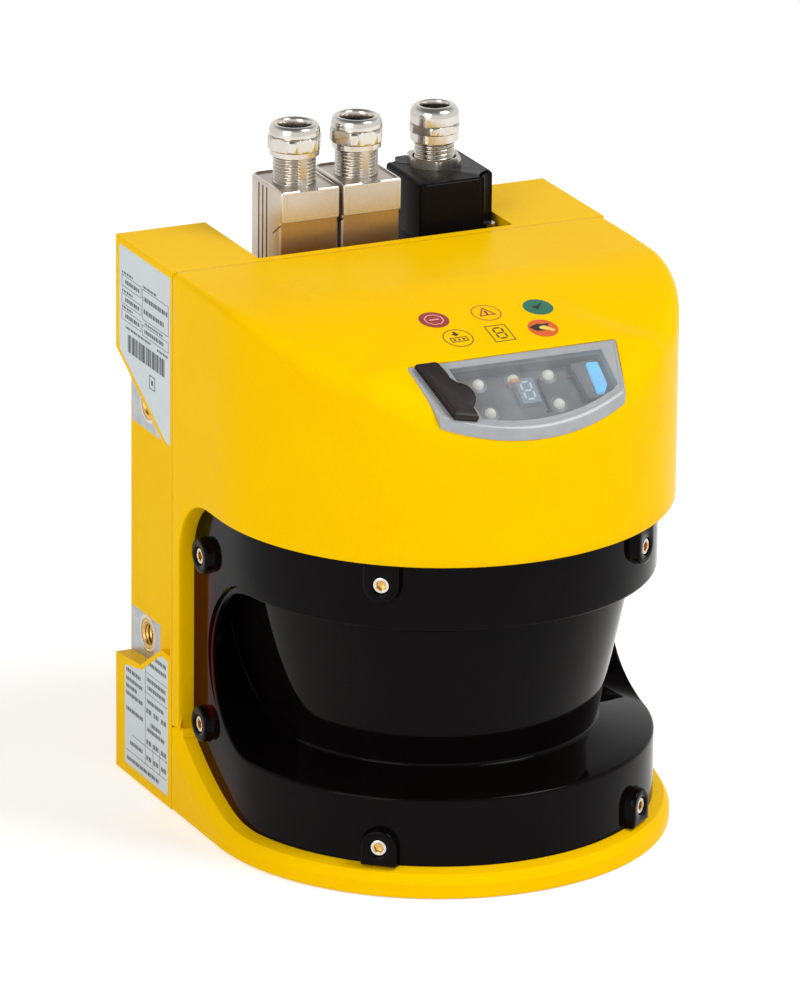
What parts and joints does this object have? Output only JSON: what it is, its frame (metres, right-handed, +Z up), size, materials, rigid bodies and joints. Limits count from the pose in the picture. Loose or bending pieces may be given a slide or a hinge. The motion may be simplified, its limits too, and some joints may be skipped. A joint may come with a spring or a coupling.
{
  "type": "safety laser scanner",
  "caption": "Safety laser scanner with a yellow two-part housing, a dark cone-shaped optics window, a spinning mirror, a status display and three cable plugs on top.",
  "frame": {"origin": "middle of the base, half way between the front of the hood and the rear mounting face", "axes": "+Z up, -Y the way the hood and window look, +Y the rear mounting face, +X to the right when the front is looked at"},
  "size_m": [0.155, 0.16, 0.2227],
  "materials": {
    "yellow_paint": "satin",
    "black_rubber": "matt",
    "steel_screws": "satin",
    "nickel_screws": "bright",
    "cover_plastic": "gloss",
    "display_pane": "gloss",
    "circuit_board": "satin",
    "lamp_lens": "gloss",
    "digit_face": "gloss",
    "blue_plastic": "gloss",
    "socket_plastic": "matt",
    "cap_rubber": "satin",
    "cast_grey": "satin",
    "motor_grey": "satin",
    "copper_winding": "satin",
    "encoder_glass": "bright",
    "mirror_carrier": "matt",
    "mirror_face": "bright",
    "lens_glass": "gloss",
    "laser_brass": "satin",
    "chip_black": "matt",
    "plug_plastic": "satin",
    "nickel_plate": "bright",
    "die_cast_metal": "satin",
    "insert_brass": "bright",
    "label_film": "satin"
  },
  "bodies": {
    "housing": {"front_housing": "yellow_paint", "rear_housing": "yellow_paint", "housing_seal": "black_rubber", "housing_screws": "steel_screws", "optics_cover_low": "cover_plastic", "optics_window": "cover_plastic", "optics_cover_high": "cover_plastic", "optics_cover_seal": "black_rubber", "cover_screws": "nickel_screws", "display_pane": "display_pane", "display_board": "circuit_board", "status_lamps": "lamp_lens", "digit_display": "digit_face", "display_insert": "blue_plastic", "service_socket": "socket_plastic", "optics_chassis": "cast_grey", "motor_case": "motor_grey", "motor_stator": "copper_winding", "shaft_bearings": "steel_screws", "encoder_sensor": "socket_plastic", "optics_tube": "socket_plastic", "receiver_lens": "lens_glass", "laser_collimator": "motor_grey", "laser_module": "laser_brass", "receiver_board": "circuit_board", "dust_board_low": "circuit_board", "dust_board_high": "circuit_board", "main_board": "circuit_board", "power_board": "circuit_board", "main_board_parts": "chip_black", "system_socket": "socket_plastic", "system_plug": "plug_plastic", "system_plug_screws": "steel_screws", "system_gland": "nickel_plate", "system_lock_nut": "nickel_plate", "system_dome_nut": "nickel_plate", "system_seal": "black_rubber", "bus_sockets": "socket_plastic", "bus_plug_left": "die_cast_metal", "bus_plug_right": "die_cast_metal", "bus_glands": "nickel_plate", "bus_dome_nuts": "nickel_plate", "bus_seals": "black_rubber", "thread_inserts": "insert_brass", "type_label": "label_film", "data_label": "label_film"},
    "mirror": {"motor_rotor": "motor_grey", "motor_shaft": "steel_screws", "encoder_disc": "encoder_glass", "mirror_head": "mirror_carrier", "mirror_glass": "mirror_face"},
    "flap": {"service_cap": "cap_rubber"}
  },
  "joints": [
    {"name": "mirror_spin", "type": "hinge", "parent": "housing", "child": "mirror", "pos_m": [0, -0.013, 0.05], "axis": [0, 0, 1], "continuous": true},
    {"name": "flap_hinge", "type": "hinge", "parent": "housing", "child": "flap", "pos_m": [-0.0346, -0.05729, 0.17552], "axis": [0.2635, -0.7704, -0.5805], "range_deg": [0, 95]}
  ]
}
